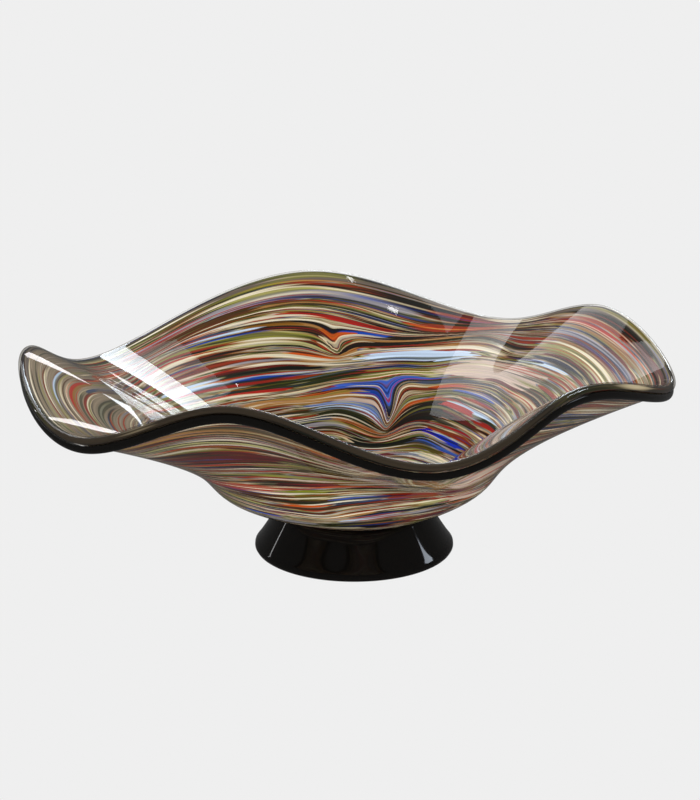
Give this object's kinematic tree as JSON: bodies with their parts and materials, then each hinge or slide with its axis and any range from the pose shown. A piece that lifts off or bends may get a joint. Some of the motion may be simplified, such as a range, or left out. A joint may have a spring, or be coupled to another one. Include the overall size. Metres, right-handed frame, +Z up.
{
  "type": "fluted glass bowl",
  "caption": "Wide footed glass bowl with a rim folded into waves, swirled colour cased in clear glass, a black lip strand and a black conical foot.",
  "frame": {"origin": "centre of the circle on which the foot stands, on the table", "axes": "+Z up along the foot's axis, +X towards the wider way across the rim, -Y towards the tallest fold"},
  "size_m": [0.4138, 0.3998, 0.154],
  "materials": {
    "clear_glass": "clear, fire polished",
    "marbled_glass": "swirled opaque and translucent colours",
    "black_glass": "opaque black, fire polished"
  },
  "bodies": {
    "root": {"inner_casing": "clear_glass", "marbled_layer": "marbled_glass", "outer_casing": "clear_glass", "lip_wrap": "black_glass", "foot": "black_glass"}
  },
  "joints": []
}
